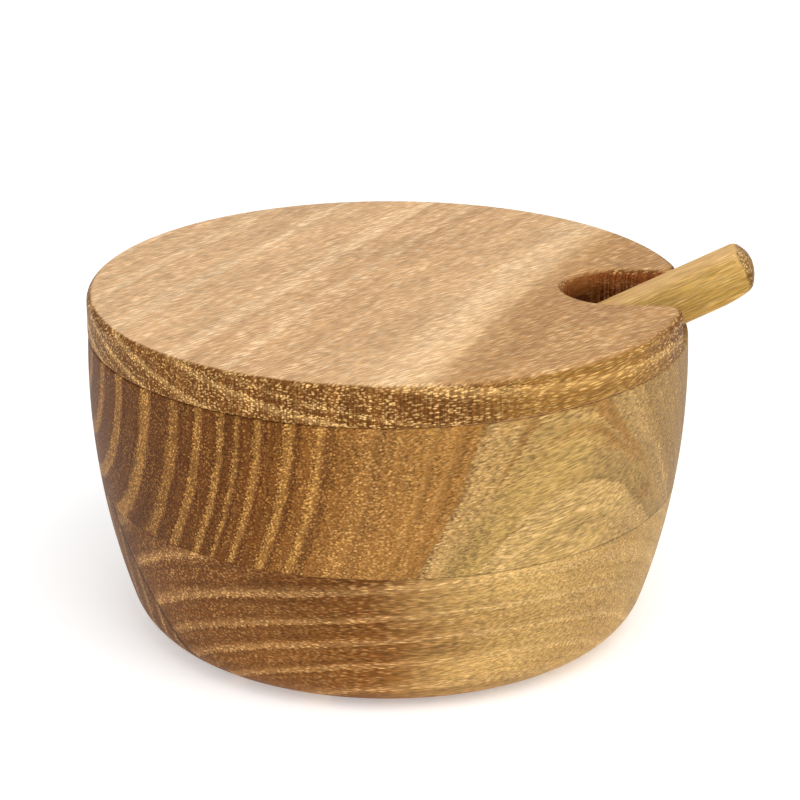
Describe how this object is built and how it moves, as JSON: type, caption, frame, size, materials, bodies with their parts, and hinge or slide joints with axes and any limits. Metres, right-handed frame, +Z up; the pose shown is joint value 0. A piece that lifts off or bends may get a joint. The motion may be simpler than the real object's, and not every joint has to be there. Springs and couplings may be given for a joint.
{
  "type": "lidded spice bowl",
  "caption": "Round turned wooden spice bowl with a loose notched lid and a carved spoon that leans out through the notch.",
  "frame": {"origin": "middle of the flat foot on which the bowl stands", "axes": "+Z up along the bowl's axis, +X from the axis towards the lid's notch and the spoon's handle"},
  "size_m": [0.1276, 0.115, 0.0753],
  "materials": {
    "upper_block_wood": "oiled, satin",
    "lower_block_wood": "oiled, satin",
    "lid_wood": "oiled, satin",
    "spoon_wood": "oiled, satin"
  },
  "bodies": {
    "bowl": {"bowl_upper_block": "upper_block_wood", "bowl_lower_block": "lower_block_wood"},
    "lid": {"lid": "lid_wood"},
    "spoon": {"spoon": "spoon_wood"}
  },
  "joints": [
    {"name": "lid_lift", "type": "slide", "parent": "bowl", "child": "lid", "axis": [0, 0, 1], "range_m": [0, 0.08]},
    {"name": "spoon_draw", "type": "slide", "parent": "bowl", "child": "spoon", "axis": [0.8988, 0, 0.4384], "range_m": [0, 0.13]}
  ]
}
